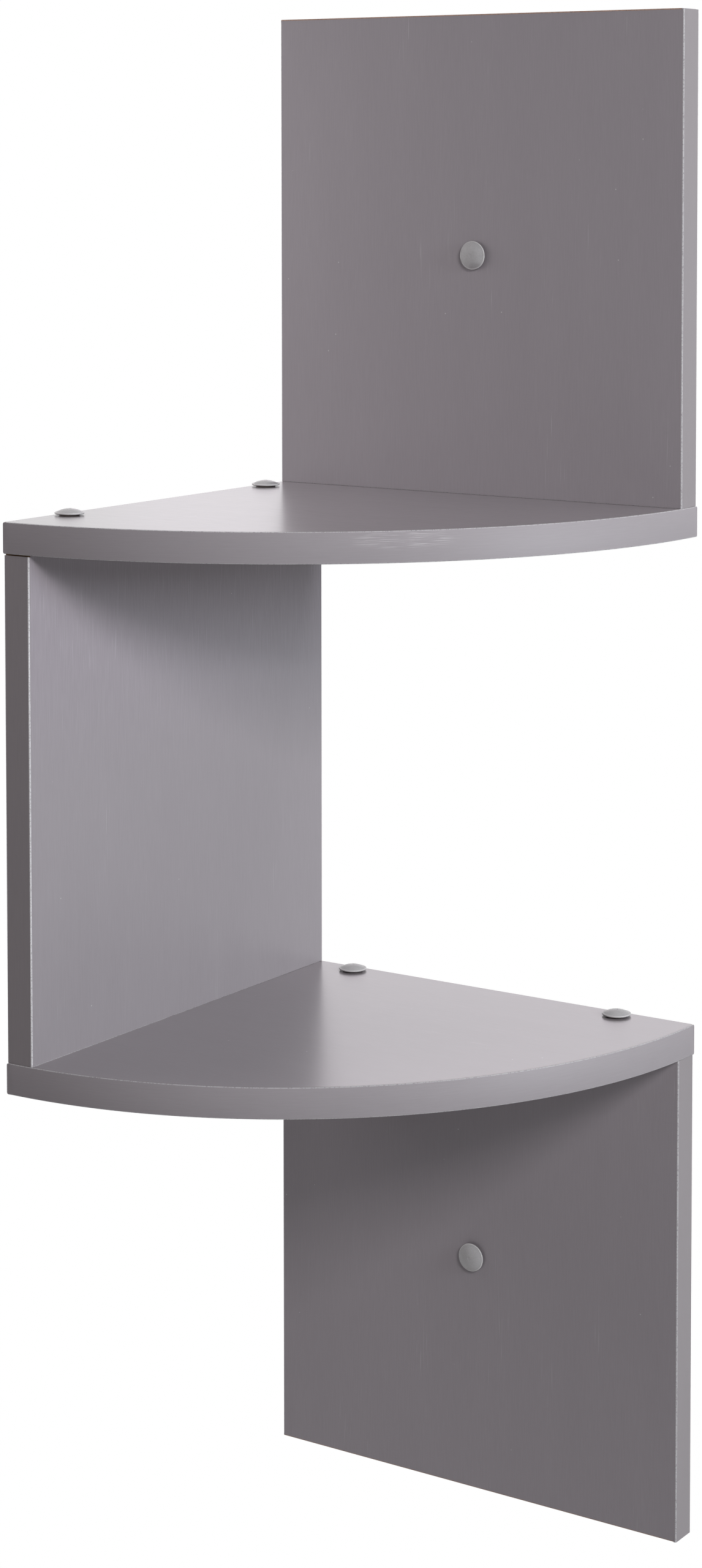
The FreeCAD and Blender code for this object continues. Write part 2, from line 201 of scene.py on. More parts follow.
# %% [markdown]
# ## The lamps
#
# Faces that look to the right are nearly twice as light as those that look to the front, and the upper shelf
# throws a soft, sloping shadow on the left wall's panel. So two soft boxes stand to the right, the cooler
# one almost in line with the right wall and the other more to the front. A third hangs above and lights the
# shelves' tops. The upper and the lower panel are lighter towards the corner, because the white left wall
# beside them throws light back: two small cards close by on the left stand for that wall. One more soft box,
# low and behind, lights the panels' backs. The shelves' lacquer would mirror all these as glaring patches,
# so they are hidden from mirroring rays. Two more cards are mirrored: a weak, faintly pink one behind, in
# the lower shelf's top, and one on the right that gives no other light, as a soft sheen on the right half of
# the curved strips. It stands below the shelves, where their tops can't mirror it. Each lamp is placed by
# its bearing and height in degrees and its distance in metres, and turned to the shelf.

# %% Hang the lamps
COOL = (0.89, 1.0, 1.02)
PINK = (1.0, 0.75, 1.0)


def hang_lamp(
    name, bearing, height, distance, wide, high, watts, colour=(1, 1, 1), mirrored=False, lights=True
):
    lamp = bpy.data.objects.new(name, bpy.data.lights.new(name, "AREA"))
    lamp.data.shape = "RECTANGLE"
    lamp.data.size = wide
    lamp.data.size_y = high
    lamp.data.energy = watts
    lamp.data.color = colour
    turn, rise = math.radians(bearing), math.radians(height)
    place = Vector((math.sin(turn) * math.cos(rise), -math.cos(turn) * math.cos(rise), math.sin(rise)))
    lamp.location = place * distance
    lamp.rotation_euler = place.to_track_quat("Z", "Y").to_euler()
    lamp.visible_camera = False
    lamp.visible_glossy = mirrored
    lamp.visible_diffuse = lights
    bpy.context.collection.objects.link(lamp)
    print(name, "at", [round(v, 2) for v in lamp.location])


hang_lamp("side_soft_box", bearing=86, height=16, distance=1.5, wide=0.5, high=0.35, watts=17, colour=COOL)
hang_lamp("main_soft_box", bearing=54, height=27, distance=1.7, wide=0.5, high=0.35, watts=17)
hang_lamp("top_soft_box", bearing=120, height=70, distance=2.2, wide=0.6, high=0.6, watts=11)
hang_lamp("left_card", bearing=-70, height=30, distance=0.45, wide=0.3, high=0.3, watts=1.15)
hang_lamp("low_card", bearing=-50, height=-68, distance=0.6, wide=0.3, high=0.3, watts=0.18)
hang_lamp("back_soft_box", bearing=205, height=-18, distance=2.2, wide=0.6, high=0.6, watts=13)
hang_lamp(
    "sheen_card", bearing=212, height=18, distance=2.2, wide=0.8, high=0.4, watts=0.38,
    colour=PINK, mirrored=True
)
hang_lamp(
    "strip_card", bearing=90, height=-5, distance=1.5, wide=0.5, high=0.35, watts=7,
    colour=COOL, mirrored=True, lights=False
)

# %% [markdown]
# ## Helpers for noise
#
# Most patterns on the shelf are noise that is stretched one way, cut to a mask or spread over a range of
# values. Blender's noise hardly ever leaves its middle range, so only that part of it is spread.

# %% Stretch, cut and spread noise
NOISE_LOW, NOISE_HIGH = 0.3, 0.7


def stretched_noise(tree, run, along, across, detail):
    scaled = add(tree, "VectorMath", {0: run, 1: (1 / along, 1 / across, 1 / across)}, operation="MULTIPLY")
    return add(tree, "TexNoise", {"Vector": scaled.outputs[0], "Scale": 1.0, "Detail": detail}).outputs[0]


def between(tree, value, low, high):
    return add(tree, "MapRange", {0: value, 1: low, 2: high}, interpolation_type="SMOOTHSTEP").outputs[0]


def spread(tree, value, low, high):
    return add(tree, "MapRange", {0: value, 1: NOISE_LOW, 2: NOISE_HIGH, 3: low, 4: high}).outputs[0]


def times(tree, first, second):
    return add(tree, "Math", {0: first, 1: second}, operation="MULTIPLY").outputs[0]


def blend_colours(tree, factor, first, second):
    return add(tree, "Mix", {0: factor, 6: first, 7: second}, data_type="RGBA").outputs[2]


print("noise is spread from", NOISE_LOW, "to", NOISE_HIGH)

# %% [markdown]
# ## The brushed grain
#
# The boards wear a grey foil that is printed and pressed like brushed metal: fine streaks and faint broader
# clouds. In use it gets thin scratches and a few pale specks. Several materials need these, so they are a
# node group. It takes a place on the surface in metres, with the grain's own direction first, and stretches
# noise along that direction. Boards, edge strips and shelves then only differ in how they turn their
# coordinates before they hand them in.

# %% Build the grain group
SPECKS_APART = 13 * MM
SPECK_EDGE, SPECK_CORE = 0.026, 0.012

grain = bpy.data.node_groups.new("brushed_grain", "ShaderNodeTree")
grain.interface.new_socket("Run", in_out="INPUT", socket_type="NodeSocketVector")
for name in ("Streaks", "Clouds", "Lines", "Specks"):
    grain.interface.new_socket(name, in_out="OUTPUT", socket_type="NodeSocketFloat")
run = grain.nodes.new("NodeGroupInput").outputs["Run"]
streaks = stretched_noise(grain, run, along=9 * MM, across=0.55 * MM, detail=3)
clouds = stretched_noise(grain, run, along=90 * MM, across=14 * MM, detail=2)
lines = stretched_noise(grain, run, along=22 * MM, across=0.45 * MM, detail=1)
cells = add(grain, "TexVoronoi", {"Vector": run, "Scale": 1 / SPECKS_APART})
specks = between(grain, cells.outputs["Distance"], SPECK_EDGE, SPECK_CORE)
out = grain.nodes.new("NodeGroupOutput")
grain.links.new(streaks, out.inputs["Streaks"])
grain.links.new(clouds, out.inputs["Clouds"])
grain.links.new(lines, out.inputs["Lines"])
grain.links.new(specks, out.inputs["Specks"])
print("grain group outputs:", [socket.name for socket in out.inputs if socket.name])

# %% [markdown]
# ## Which way the grain runs
#
# On the panels the streaks stand upright, on the shelves and end strips they run along the right wall, and
# on the curved strips they follow the curve. Each case needs its Object coordinates in the order along,
# across, across. For the curve, the angle round the room's corner times the radius gives the way along.

# %% Turn coordinates along the grain
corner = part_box("upper_shelf")[0].x
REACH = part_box("upper_shelf_band")[1].x - corner


def grain_run(tree, way):
    place = add(tree, "TexCoord").outputs["Object"]
    if way == "along_wall":
        return place
    here = add(tree, "SeparateXYZ", {0: place}).outputs
    if way == "upright":
        return add(tree, "CombineXYZ", {0: here[2], 1: here[0], 2: here[1]}).outputs[0]
    away = add(tree, "Math", {0: here[0], 1: corner}, operation="SUBTRACT").outputs[0]
    angle = add(tree, "Math", {0: here[1], 1: away}, operation="ARCTAN2").outputs[0]
    return add(tree, "CombineXYZ", {0: times(tree, angle, REACH), 1: here[2], 2: 0.0}).outputs[0]


print("the curved strips reach", round(REACH / MM, 1), "mm from the corner")

# %% [markdown]
# ## The foil's wear and painted shade
#
# In use the foil gets scratches and specks, and the scratches lie together in patches, where the grain's
# clouds are light. On the left wall's panel the streaks are painted stronger and faintly purple near the top,
# where the upper shelf's shadow falls, with thin pale lines among them: painted shade and painted sheen of
# the grain. Each kind of wear, and the painted shade, is a function that is handed the coordinates, the
# grain's outputs and the colour so far, and gives the new colour back, so that a finish can have its own kind
# or none.

# %% Wear the foil and paint streaks into the shade
PATCH_LIMITS, SCRATCH_LIMITS = (0.57, 0.68), (0.68, 0.78)
SCRATCH_SHARE, SCRATCH_GREY = 0.25, paint(205, 202, 205)
SPECK_SHARE, SPECK_GREY = 0.7, paint(190, 185, 188)
SHADE_ZONE_FROM, SHADE_ZONE_FULL = -3 * MM, 72 * MM
SHADE_STREAK_GREYS = paint(132, 124, 131), paint(139, 131, 138)
SHADE_LINE_LIMITS, SHADE_LINE_SHARE, SHADE_LINE_GREY = (0.62, 0.74), 0.16, paint(200, 194, 202)


def worn(tree, run, marks, colour):
    patches = between(tree, marks["Clouds"], *PATCH_LIMITS)
    scratches = times(tree, between(tree, marks["Lines"], *SCRATCH_LIMITS), patches)
    colour = blend_colours(tree, times(tree, scratches, SCRATCH_SHARE), colour, SCRATCH_GREY)
    return blend_colours(tree, times(tree, marks["Specks"], SPECK_SHARE), colour, SPECK_GREY)


# Painted shade and sheen: where the upper shelf's shadow falls near the left wall's panel's top, the streaks
# get stronger and faintly purple, with pale lines.
def shade_zone_streaks(tree, run, marks, colour):
    level = add(tree, "SeparateXYZ", {0: run}).outputs[0]
    shade_zone = between(tree, level, SHADE_ZONE_FROM, SHADE_ZONE_FULL)
    streaks = blend_colours(tree, spread(tree, marks["Streaks"], 0.0, 1.0), *SHADE_STREAK_GREYS)
    pale_shade_lines = times(tree, between(tree, marks["Lines"], *SHADE_LINE_LIMITS), SHADE_LINE_SHARE)
    streaks = blend_colours(tree, pale_shade_lines, streaks, SHADE_LINE_GREY)
    return worn(tree, run, marks, blend_colours(tree, shade_zone, colour, streaks))


print("streaks are full", round(SHADE_ZONE_FULL / MM), "mm above the shelf's middle")

# %% [markdown]
# ## The foil
#
# The foil is satin: it scatters most light and mirrors the white surroundings at a shallow angle. The
# shelves' foil also has a clear lacquer, which is why their tops look almost white in places. A Principled
# shader does all this. The grain moves its colour a little, its roughness a little more, and lifts its
# surface by a hundredth of a millimetre through a Bump node.

# %% Mix the foils
CLOUD_SHARE = 0.3
SATIN = (0.33, 0.39)
STREAK_LIFT = 0.01 * MM
SHEEN_TINT = (1.0, 0.94, 0.98, 1.0)
LACQUER_ROUGHNESS, LACQUER_IOR = 0.24, 1.8
PANEL_GREYS = paint(133, 126, 131), paint(138, 131, 136)
SHELF_GREYS = paint(116, 109, 113), paint(122, 115, 119)


def foil(name, way, dark, light, rough=SATIN, lacquer=0.0, wear_and_shade=None):
    made, tree = new_finish(name)
    run = grain_run(tree, way)
    marks = add(tree, "Group", {"Run": run}, node_tree=grain).outputs
    tone = add(tree, "Mix", {0: CLOUD_SHARE, 2: marks["Streaks"], 3: marks["Clouds"]}).outputs[0]
    colour = blend_colours(tree, spread(tree, tone, 0.0, 1.0), dark, light)
    if wear_and_shade:
        colour = wear_and_shade(tree, run, marks, colour)
    lift = add(tree, "Bump", {"Strength": 0.25, "Distance": STREAK_LIFT, "Height": marks["Streaks"]})
    shader = add(tree, "BsdfPrincipled", {"Base Color": colour, "Normal": lift.outputs[0]})
    shader.inputs["Specular Tint"].default_value = SHEEN_TINT
    shader.inputs["Coat Weight"].default_value = lacquer
    shader.inputs["Coat Roughness"].default_value = LACQUER_ROUGHNESS
    shader.inputs["Coat IOR"].default_value = LACQUER_IOR
    tree.links.new(spread(tree, marks["Streaks"], *rough), shader.inputs["Roughness"])
    add(tree, "OutputMaterial", {"Surface": shader.outputs[0]})
    return made


panel_foil = foil("foil_upright", "upright", *PANEL_GREYS, wear_and_shade=worn)
# The left wall's panel also gets streaks that are painted stronger in the upper shelf's shadow.
middle_foil_shaded = foil("foil_middle_painted_shade", "upright", *PANEL_GREYS, wear_and_shade=shade_zone_streaks)
shelf_foil = foil("foil_along_wall", "along_wall", *SHELF_GREYS, lacquer=1.0, wear_and_shade=worn)
print("foils:", panel_foil.name, middle_foil_shaded.name, shelf_foil.name)

# %% [markdown]
# ## The raw board
#
# Under the foil is pressed wood fibre. It shows only on the edges that go to the walls and into the joints:
# brown, matt, with short fibres. Two scales of noise are enough for it, the coarse one for the layers of the
# pressed board and the fine one for fibres.

# %% Mix the raw board
FIBRE_BROWNS = paint(118, 88, 60), paint(172, 138, 102)
LAYER_SHARE, LAYER_BROWN = 0.5, paint(138, 106, 76)
DULL = (0.78, 0.9)

raw_board, tree = new_finish("raw_fibreboard")
place = add(tree, "TexCoord").outputs["Object"]
fibres = stretched_noise(tree, place, along=0.7 * MM, across=0.4 * MM, detail=4)
layers = stretched_noise(tree, place, along=22 * MM, across=6 * MM, detail=2)
colour = blend_colours(tree, spread(tree, fibres, 0.0, 1.0), *FIBRE_BROWNS)
colour = blend_colours(tree, times(tree, layers, LAYER_SHARE), colour, LAYER_BROWN)
lift = add(tree, "Bump", {"Strength": 0.5, "Distance": 0.08 * MM, "Height": fibres})
shader = add(tree, "BsdfPrincipled", {"Base Color": colour, "Normal": lift.outputs[0]})
tree.links.new(spread(tree, layers, *DULL), shader.inputs["Roughness"])
add(tree, "OutputMaterial", {"Surface": shader.outputs[0]})
print("raw board:", raw_board.name)

# %% [markdown]
# ## Trimmed corners
#
# Foil and strips were glued on with some overhang, which a blade then trimmed off. The blade cut through the
# grey print: in the picture that is the bright, slightly broken line along the left panel's front edge. On
# the other corners it is fainter, and on the top and bottom ends the cut shows brown. So the trimmed corners
# get finishes of their own, with small chips.

# %% Mix the trimmed corners
CHIP_SIZE, CHIP_LIMITS = 0.6 * MM, (0.46, 0.66)
CUT_SATIN = (0.36, 0.5)


def trim_finish(name, core, chip):
    made, tree = new_finish(name)
    place = add(tree, "TexCoord").outputs["Object"]
    crumbs = stretched_noise(tree, place, along=CHIP_SIZE, across=CHIP_SIZE, detail=2)
    chips = between(tree, crumbs, *CHIP_LIMITS)
    lift = add(tree, "Bump", {"Strength": 0.4, "Distance": 0.03 * MM, "Height": chips})
    colour = blend_colours(tree, chips, core, chip)
    shader = add(tree, "BsdfPrincipled", {"Base Color": colour, "Normal": lift.outputs[0]})
    tree.links.new(spread(tree, chips, *CUT_SATIN), shader.inputs["Roughness"])
    add(tree, "OutputMaterial", {"Surface": shader.outputs[0]})
    return made


trimmed_pale = trim_finish("trimmed_pale", paint(196, 191, 194), paint(166, 160, 163))
trimmed_faint = trim_finish("trimmed_faint", paint(162, 157, 160), paint(132, 126, 129))
trimmed_brown = trim_finish("trimmed_brown", paint(150, 118, 102), paint(116, 94, 84))
print("trimmed corners:", trimmed_pale.name, trimmed_faint.name, trimmed_brown.name)

# %% [markdown]
# ## Finishing a piece
#
# Each piece that we shape ends in the same way: it becomes a mesh with its finishes, hangs under the shelf's
# root, and the imported nodes that it stands for are hidden. Pieces that start from an imported node need a
# copy whose loose triangles are merged into whole faces.

# %% Copy imported nodes and finish pieces
MERGE = 0.001 * MM
SAME_PLANE = math.radians(0.5)


def merged_copy(node):
    shape = bmesh.new()
    shape.from_mesh(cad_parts[node].data)
    bmesh.ops.remove_doubles(shape, verts=shape.verts, dist=MERGE)
    bmesh.ops.dissolve_limit(shape, angle_limit=SAME_PLANE, verts=shape.verts, edges=shape.edges)
    return shape


def finish_piece(shape, name, materials, slot, *nodes):
    mesh = bpy.data.meshes.new(name)
    shape.to_mesh(mesh)
    shape.free()
    if "custom_normal" in mesh.attributes:
        mesh.attributes.remove(mesh.attributes["custom_normal"])
    for material in materials:
        mesh.materials.append(material)
    piece = bpy.data.objects.new(name, mesh)
    bpy.context.collection.objects.link(piece)
    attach(piece, "root")
    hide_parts(*nodes)
    return piece


print("points closer than", MERGE / MM, "mm are merged")

# %% [markdown]
# ## The five boards
#
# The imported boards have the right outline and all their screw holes, but perfectly sharp edges, which no
# real board has. We copy each one and ease its long edges by a fifth of a millimetre. The rims of the screw
# holes are short edges, and stay sharp, and so do the edges under a strip, where the foil runs flush into
# it. Then the wide faces get the foil, the narrow ones the raw board, and the panels' eased edges the faint
# trimmed finish.

# %% Ease the boards' edges
EASE = 0.2 * MM
SHORT_EDGE, SHARP_FOLD = 2 * MM, 1.0
STRIP_ROOM = 2 * MM
FACES_WIDE = 0.2
RIGHT, FRONT, UP = Vector((1, 0, 0)), Vector((0, -1, 0)), Vector((0, 0, 1))


def from_corner(point):
    return (point.co.xy - Vector((corner, 0))).length


def under_strip(edge):
    at_end = all(abs(end.co.z) > cad_box[1].z - STRIP_ROOM for end in edge.verts)
    at_front = all(from_corner(end) > REACH - STRIP_ROOM for end in edge.verts)
    return at_end or at_front


def needs_easing(edge):
    is_rim = edge.calc_length() > SHORT_EDGE and edge.calc_face_angle(0) > SHARP_FOLD
    return is_rim and not under_strip(edge)


def eased_board(node, wide_face, board_foil, edge_finish):
    shape = merged_copy(node)
    rims = [edge for edge in shape.edges if needs_easing(edge)]
    cut = bmesh.ops.bevel(
        shape, geom=rims, offset=EASE, segments=2, profile=0.5, affect="EDGES", material=-1
    )
    for face in shape.faces:
        face.smooth = False
        face.material_index = 0 if abs(face.normal.dot(wide_face)) > FACES_WIDE else 1
    for face in cut["faces"]:
        face.material_index = 2
    print(node, "has", len(rims), "eased edges")
    finish_piece(shape, node + "_board", [board_foil, raw_board, edge_finish], "grey_board", node)


eased_board("upper_panel", FRONT, panel_foil, trimmed_faint)
eased_board("middle_panel", RIGHT, middle_foil_shaded, trimmed_faint)
eased_board("lower_panel", FRONT, panel_foil, trimmed_faint)
eased_board("upper_shelf", UP, shelf_foil, shelf_foil)
eased_board("lower_shelf", UP, shelf_foil, shelf_foil)

# %% [markdown]
# ## The edge strips' finishes
#
# A thin plastic strip covers each visible edge. Its face is more matt than the boards and a touch warmer.
# One place on the upper shelf's curved strip was rubbed, which left a patch of short pale lines: fine
# stretched noise, kept only inside an oval round that place.

# %% Mix the strips' faces
RUBBED_AT = (-144 * MM, 106 * MM, 0.0)
RUBBED_HALF = (26 * MM, 4.5 * MM, 1.0)
OVAL_LIMITS, SCUFF_LIMITS = (1.0, 0.5), (0.53, 0.65)
SCUFF_SHARE, SCUFF_GREY = 0.36, paint(210, 205, 206)
MATT = (0.48, 0.55)
STRAIGHT_GREYS = paint(124, 117, 120), paint(129, 122, 125)
CURVED_GREYS = paint(134, 127, 131), paint(139, 132, 136)


def rubbed(tree, run, marks, colour):
    away = add(tree, "VectorMath", {0: run, 1: RUBBED_AT}, operation="SUBTRACT").outputs[0]
    oval = add(tree, "VectorMath", {0: away, 1: RUBBED_HALF}, operation="DIVIDE").outputs[0]
    far = add(tree, "VectorMath", {0: oval}, operation="LENGTH").outputs["Value"]
    fine_lines = stretched_noise(tree, run, along=11 * MM, across=0.2 * MM, detail=2)
    scuffs = times(tree, between(tree, fine_lines, *SCUFF_LIMITS), between(tree, far, *OVAL_LIMITS))
    return blend_colours(tree, times(tree, scuffs, SCUFF_SHARE), colour, SCUFF_GREY)


strip_upright = foil("strip_upright", "upright", *STRAIGHT_GREYS, MATT)
strip_along = foil("strip_along_wall", "along_wall", *STRAIGHT_GREYS, MATT)
strip_round = foil("strip_round_corner", "round_corner", *CURVED_GREYS, MATT, wear_and_shade=rubbed)
print("strips:", strip_upright.name, strip_along.name, strip_round.name)

# %% [markdown]
# ## The straight strips
#
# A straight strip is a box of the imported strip's size, cut a little short at its far end and pressed on
# until almost no glue line is left. The left panel's strip is the shortest, and leaves a dark line under the
# upper shelf. The two long edges on a strip's outer side are rounded with a bevel of three steps, and the
# faces that the bevel returns are the trimmed corner. The strip's narrow sides lie flush with the board and
# wear its foil.

# %% Cut the straight strips
TRIM = 0.5 * MM
SEAT, GLUE_LINE = 0.05 * MM, 0.09 * MM
RUNS_ALONG = 0.9


def trim_corners(shape, edges, offset):
    cut = bmesh.ops.bevel(
        shape, geom=edges, offset=offset, segments=3, profile=0.5, affect="EDGES", material=-1
    )
    for face in cut["faces"]:
        face.material_index = 1


def strip_blank(node, outward, along, short):
    low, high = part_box(node)
    size = high - low - (SEAT + short) * along
    size += GLUE_LINE * Vector([abs(part) for part in outward])
    middle = (low + high - outward * GLUE_LINE + along * (SEAT - short)) / 2
    shape = bmesh.new()
    bmesh.ops.create_cube(shape, size=1)
    bmesh.ops.scale(shape, verts=shape.verts, vec=size)
    bmesh.ops.translate(shape, verts=shape.verts, vec=middle)
    shape.normal_update()
    return shape


def straight_strip(node, outward, along, face_finish, corner_finish, short):
    shape = strip_blank(node, outward, along, short)
    for face in shape.faces:
        face.material_index = 0 if face.normal.dot(outward) > RUNS_ALONG else 2
    front = [face for face in shape.faces if face.material_index == 0][0]
    long_edges = []
    for edge in front.edges:
        line = edge.verts[1].co - edge.verts[0].co
        if abs(line.normalized().dot(along)) > RUNS_ALONG:
            long_edges.append(edge)
    trim_corners(shape, long_edges, TRIM)
    print(node, "trimmed on", len(long_edges), "edges")
    finishes = [face_finish, corner_finish, panel_foil]
    finish_piece(shape, node + "_strip", finishes, "grey_edge_band", node)


straight_strip("upper_panel_front_band", RIGHT, UP, strip_upright, trimmed_faint, short=0.2 * MM)
straight_strip("middle_panel_front_band", FRONT, UP, strip_upright, trimmed_pale, short=0.6 * MM)
straight_strip("lower_panel_front_band", RIGHT, UP, strip_upright, trimmed_faint, short=0.1 * MM)
straight_strip("upper_panel_top_band", UP, RIGHT, strip_along, trimmed_brown, short=0.05 * MM)
straight_strip("lower_panel_bottom_band", -UP, RIGHT, strip_along, trimmed_brown, short=0.05 * MM)

# %% [markdown]
# ## The curved strips
#
# Each shelf's strip bends round a quarter circle about the room's corner. We draw its cross-section as one
# small face on the right wall, spin it through ninety degrees, and close the starting end. Its four end
# corners are rounded off, and then the outer long edges are trimmed in the same way as on the straight
# strips. The narrow sides lie flush with the shelf and wear its foil.

# %% Bend the curved strips
STRIP = 1.0 * MM
BEND_STEPS = 96
END_ROUND, CURVED_TRIM = 0.8 * MM, 0.3 * MM
TOUCHES, OUTER_SKIN = 0.01 * MM, 0.1 * MM
FACES_UP = 0.99
CREASE = math.radians(40)


def close_holes(shape):
    bmesh.ops.holes_fill(shape, edges=[edge for edge in shape.edges if edge.is_boundary])


def is_level(edge):
    return abs(edge.verts[0].co.z - edge.verts[1].co.z) < TOUCHES


def round_ends(shape):
    tips = []
    for edge in shape.edges:
        at_start = all(abs(end.co.y) < TOUCHES for end in edge.verts)
        at_finish = all(abs(end.co.x - corner) < TOUCHES for end in edge.verts)
        if (at_start or at_finish) and is_level(edge):
            tips.append(edge)
    bmesh.ops.bevel(
        shape, geom=tips, offset=END_ROUND, segments=4, profile=0.5, affect="EDGES", material=-1
    )


def bent_blank(low, high):
    shape = bmesh.new()
    inner = REACH - STRIP - GLUE_LINE
    section = [(inner, low), (REACH, low), (REACH, high), (inner, high)]
    points = [shape.verts.new((corner + away, 0, level)) for away, level in section]
    start = shape.faces.new(points)
    bmesh.ops.spin(
        shape, geom=[start], cent=(corner, 0, 0), axis=(0, 0, 1), angle=-math.pi / 2, steps=BEND_STEPS
    )
    bmesh.ops.remove_doubles(shape, verts=shape.verts, dist=MERGE)
    close_holes(shape)
    bmesh.ops.recalc_face_normals(shape, faces=shape.faces)
    return shape


def curved_strip(node):
    low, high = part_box(node)
    shape = bent_blank(low.z, high.z)
    round_ends(shape)
    outer = []
    for edge in shape.edges:
        far = all(from_corner(end) > REACH - OUTER_SKIN for end in edge.verts)
        if far and is_level(edge):
            outer.append(edge)
    trim_corners(shape, outer, CURVED_TRIM)
    for face in shape.faces:
        face.smooth = True
        if abs(face.normal.z) > FACES_UP:
            face.material_index = 2
    finishes = [strip_round, trimmed_faint, shelf_foil]
    piece = finish_piece(shape, node + "_strip", finishes, "grey_edge_band", node)
    piece.data.set_sharp_from_angle(angle=CREASE)
    print(node, "has", len(piece.data.polygons), "faces")


curved_strip("upper_shelf_band")
curved_strip("lower_shelf_band")

# %% [markdown]
# ## The caps' plastic
#
# The caps are moulded in a grey without the boards' warm tint. The mould leaves a fine, even texture, so the
# colour hardly changes, but the roughness and the surface do. The thin rim gets a paler copy of the plastic:
# a painted highlight, for the light that its round bead catches from all sides.

# %% Mix the cap plastic
STIPPLE, FLOW, FLOW_SHARE = 0.35 * MM, 5 * MM, 0.5
GLOSSY = (0.17, 0.25)
PLASTIC_IOR = 1.7


def moulded(name, dark, light):
    made, tree = new_finish(name)
    place = add(tree, "TexCoord").outputs["Object"]
    stipple = stretched_noise(tree, place, along=STIPPLE, across=STIPPLE, detail=3)
    flow = stretched_noise(tree, place, along=FLOW, across=FLOW, detail=2)
    tone = add(tree, "Mix", {0: FLOW_SHARE, 2: stipple, 3: flow}).outputs[0]
    colour = blend_colours(tree, spread(tree, tone, 0.0, 1.0), dark, light)
    lift = add(tree, "Bump", {"Strength": 0.3, "Distance": 0.02 * MM, "Height": stipple})
    shader = add(tree, "BsdfPrincipled", {"Base Color": colour, "Normal": lift.outputs[0]})
    shader.inputs["IOR"].default_value = PLASTIC_IOR
    tree.links.new(spread(tree, stipple, *GLOSSY), shader.inputs["Roughness"])
    add(tree, "OutputMaterial", {"Surface": shader.outputs[0]})
    return made


cap_plastic = moulded("cap_plastic", paint(139, 135, 137), paint(156, 152, 154))
# Painted highlight: the bead's paler copy of the plastic stands in for light caught by the rim.
cap_rim_highlight = moulded("cap_rim_highlight", paint(164, 160, 161), paint(179, 175, 176))
print("cap finishes:", cap_plastic.name, cap_rim_highlight.name)

# %% [markdown]
# ## A cap's outline
#
# A cap is a shallow dome with a round bead along its rim, and a small mark on top where the plastic entered
# the mould. It is pressed over a screw's head. Half its outline is enough: the dome's curve is a point spun
# about the dome's centre, the bead is a point spun about the bead's centre, and the hollow and the mark are
# drawn on point by point.

# %% Draw half a cap
CAP_TOP, DOME_RADIUS, DOME_EDGE = 2.6 * MM, 5.3 * MM, 1.25 * MM
BEAD, BEAD_AT, BEAD_LEVEL = 0.36 * MM, 5.46 * MM, 0.9 * MM
BEAD_LEAN = math.radians(20)
HOLLOW_RADIUS, HOLLOW_SIDE = 4.3 * MM, 1.35 * MM
CEILING_RADIUS, HOLLOW_TOP = 3.7 * MM, 1.8 * MM
MARK_RADIUS, MARK_DEPTH = 0.7 * MM, 0.06 * MM
CURVE_STEPS = 9


def draw_on(shape, last, away, level):
    point = bmesh.ops.extrude_vert_indiv(shape, verts=[last])["verts"][0]
    point.co = (away, 0, level)
    return point


def bend_on(shape, last, away, level, turn):
    curve = bmesh.ops.spin(
        shape, geom=[last], cent=(away, 0, level), axis=(0, 1, 0), angle=turn, steps=CURVE_STEPS
    )
    return [item for item in curve["geom_last"] if isinstance(item, bmesh.types.BMVert)][0]


def cap_outline():
    rise = CAP_TOP - DOME_EDGE
    dome = (DOME_RADIUS ** 2 + rise ** 2) / (2 * rise)
    turn = math.asin(DOME_RADIUS / dome) - math.asin(MARK_RADIUS / dome)
    shape = bmesh.new()
    crown = shape.verts.new((MARK_RADIUS, 0, CAP_TOP - dome + math.sqrt(dome ** 2 - MARK_RADIUS ** 2)))
    last = bend_on(shape, crown, 0, CAP_TOP - dome, turn)
    bead_start = BEAD_LEVEL + BEAD * math.cos(BEAD_LEAN)
    last = draw_on(shape, last, BEAD_AT - BEAD * math.sin(BEAD_LEAN), bead_start)
    last = bend_on(shape, last, BEAD_AT, BEAD_LEVEL, math.pi + BEAD_LEAN)
    last = draw_on(shape, last, HOLLOW_RADIUS, BEAD_LEVEL - BEAD)
    for away, level in ((HOLLOW_RADIUS, HOLLOW_SIDE), (CEILING_RADIUS, HOLLOW_TOP), (0, HOLLOW_TOP)):
        last = draw_on(shape, last, away, level)
    dip = draw_on(shape, crown, MARK_RADIUS - MARK_DEPTH, crown.co.z - MARK_DEPTH)
    draw_on(shape, dip, 0, dip.co.z)
    return shape


one_cap = cap_outline()
print("half a cap has", len(one_cap.verts), "points")

# %% [markdown]
# ## One whole cap
#
# The outline is spun once round the cap's axis. The upper side of the bead gets the paler plastic, a painted
# highlight. A cross-shaped peg underneath goes into the screw's recess: two small bars, each a scaled cube.

# %% Turn the cap and add its peg
CAP_STEPS = 72
PEG_SPAN, PEG_WIDE, PEG_FOOT = 4.1 * MM, 0.7 * MM, 0.8 * MM


def add_peg(shape):
    for size in ((PEG_SPAN, PEG_WIDE), (PEG_WIDE, PEG_SPAN)):
        bar = bmesh.ops.create_cube(shape, size=1)["verts"]
        bmesh.ops.scale(shape, verts=bar, vec=(*size, HOLLOW_TOP - PEG_FOOT))
        bmesh.ops.translate(shape, verts=bar, vec=(0, 0, (HOLLOW_TOP + PEG_FOOT) / 2))


